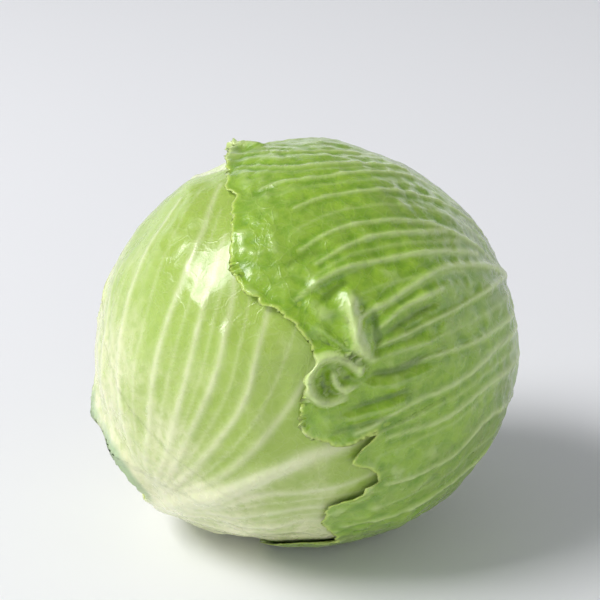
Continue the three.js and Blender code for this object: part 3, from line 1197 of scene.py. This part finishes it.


# The outer leaf's stalk-end colour is a greyish olive that covers its right side: partly the leaf's own colour and
# partly a painted greyish sheen.
OUTER_FINISH = LeafFinish(
    "outer leaf", srgb(126, 140, 86), srgb(142, 178, 48), srgb(100, 146, 20), srgb(200, 216, 150),
    srgb(188, 208, 100), crease_shade=srgb(66, 100, 12), gloss=0.27, wax=0.36, net=0.10, relief=0.5,
)
PALE_FINISH = LeafFinish(
    "pale leaf", srgb(222, 224, 180), srgb(156, 182, 76), srgb(144, 172, 66), srgb(228, 230, 192),
    srgb(206, 216, 140), gloss=0.26, net=0.07, wax=0.32, relief=0.3,
)
INNER_FINISH = LeafFinish(
    "inner leaf", srgb(214, 222, 172), srgb(186, 204, 128), srgb(172, 194, 106), srgb(226, 232, 192),
    srgb(214, 224, 150), gloss=0.28, net=0.14, relief=0.4,
)
HEART_FINISH = LeafFinish(
    "heart leaf", srgb(226, 230, 190), srgb(214, 222, 162), srgb(206, 216, 150), srgb(234, 236, 208),
    srgb(226, 230, 180), gloss=0.32, net=0.1, relief=0.4,
)


# ---------------------------------------------------------------- the studio
@dataclass(frozen=True)
class Softbox:
    """A soft rectangular lamp."""

    name: str
    place: tuple[float, float, float]
    size: tuple[float, float]
    power: float
    tint: tuple[float, float, float] = (1.0, 1.0, 1.0)

    def build(self, aim: Vector) -> None:
        """Adds the lamp.

        Args:
            aim: Where it points, m.
        """
        lamp = bpy.data.lights.new(self.name, "AREA")
        lamp.shape = "RECTANGLE"
        lamp.size, lamp.size_y = self.size
        lamp.energy = self.power
        lamp.color = self.tint
        obj = bpy.data.objects.new(self.name, lamp)
        obj.location = self.place
        obj.rotation_euler = (aim - Vector(self.place)).to_track_quat("-Z", "Y").to_euler()
        bpy.context.scene.collection.objects.link(obj)


@dataclass(frozen=True)
class Studio:
    """Floor, lamps, surroundings and camera, in metres."""

    floor_half: float = 6.0
    floor_color: Color = srgb(232, 232, 235)
    aim: tuple[float, float, float] = (-0.0033, 0.0068, 0.1028)
    camera_distance: float = 0.747
    camera_elevation: float = 22.0
    lens: float = 100.0
    sky: Color = (0.30, 0.31, 0.32, 1.0)
    horizon: Color = (1.55, 1.58, 1.62, 1.0)
    wall_top: tuple[float, float] = (0.36, 0.42)
    softboxes: tuple[Softbox, ...] = (
        Softbox("key", (-2.35, -0.55, 2.72), (1.9, 1.5), 120.0),
    )

    def build(self) -> None:
        """Adds everything round the cabbage."""
        bm = bmesh.new()
        bmesh.ops.create_grid(bm, x_segments=1, y_segments=1, size=self.floor_half)
        mesh = bpy.data.meshes.new("floor")
        bm.to_mesh(mesh)
        bm.free()
        floor = bpy.data.objects.new("floor", mesh)
        floor.location.z = -0.0002
        bpy.context.scene.collection.objects.link(floor)
        paint = bpy.data.materials.new("backdrop")
        paint.use_nodes = True
        skin = paint.node_tree.nodes["Principled BSDF"]
        skin.inputs["Base Color"].default_value = self.floor_color
        skin.inputs["Roughness"].default_value = 0.85
        mesh.materials.append(paint)
        for softbox in self.softboxes:
            softbox.build(Vector((0, 0, 0.08)))
        self.surround()
        self.camera()

    def surround(self) -> None:
        """Lights everything softly, brighter near the horizon than overhead."""
        world = bpy.data.worlds.new("studio")
        bpy.context.scene.world = world
        world.use_nodes = True
        graph = Graph(world.node_tree)
        back = world.node_tree.nodes["Background"]
        where = graph.tree.nodes.new("ShaderNodeTexCoord").outputs["Generated"]
        up = graph.node("ShaderNodeSeparateXYZ", Vector=where).outputs["Z"]
        graph.feed(back.inputs["Color"], graph.mix(graph.ease(up, *self.wall_top), self.horizon, self.sky))
        back.inputs["Strength"].default_value = 0.78

    def camera(self) -> None:
        """Adds the camera."""
        camera = bpy.data.cameras.new("camera")
        camera.lens = self.lens
        camera.sensor_width = 36.0
        obj = bpy.data.objects.new("camera", camera)
        tilt = self.camera_elevation * DEG
        aim = Vector(self.aim)
        away = Vector((0, -math.cos(tilt), math.sin(tilt)))
        obj.location = aim + away * self.camera_distance
        obj.rotation_euler = (-away).to_track_quat("-Z", "Y").to_euler()
        bpy.context.scene.collection.objects.link(obj)
        bpy.context.scene.camera = obj


def main() -> None:
    """Builds the cabbage and the studio in order."""
    bpy.context.scene.view_settings.view_transform = "Standard"
    network, specks = vein_network(), blemishes()
    finishes = {
        0: OUTER_FINISH.build(network, specks),
        1: PALE_FINISH.build(network, specks),
    }
    inner = INNER_FINISH.build(network, specks)
    leaves: list[Leaf] = []
    for number, plan in enumerate(PLANS):
        leaf = Leaf(plan, list(leaves))
        obj = leaf.build()
        obj.data.materials.append(finishes.get(number, inner))
        leaves.append(leaf)
        log.info("%s: %d corners", plan.node, len(obj.data.vertices))
    heart = Heart().build(leaves)
    heart.data.materials.append(HEART_FINISH.build(network, specks))
    log.info("heart: %d corners", len(heart.data.vertices))
    stump = Stump().build()
    stump.data.materials.append(StumpFinish().build())
    log.info("stem_stump: %d corners", len(stump.data.vertices))
    Studio().build()
    log.info("studio built")


if __name__ == "__main__":
    main()
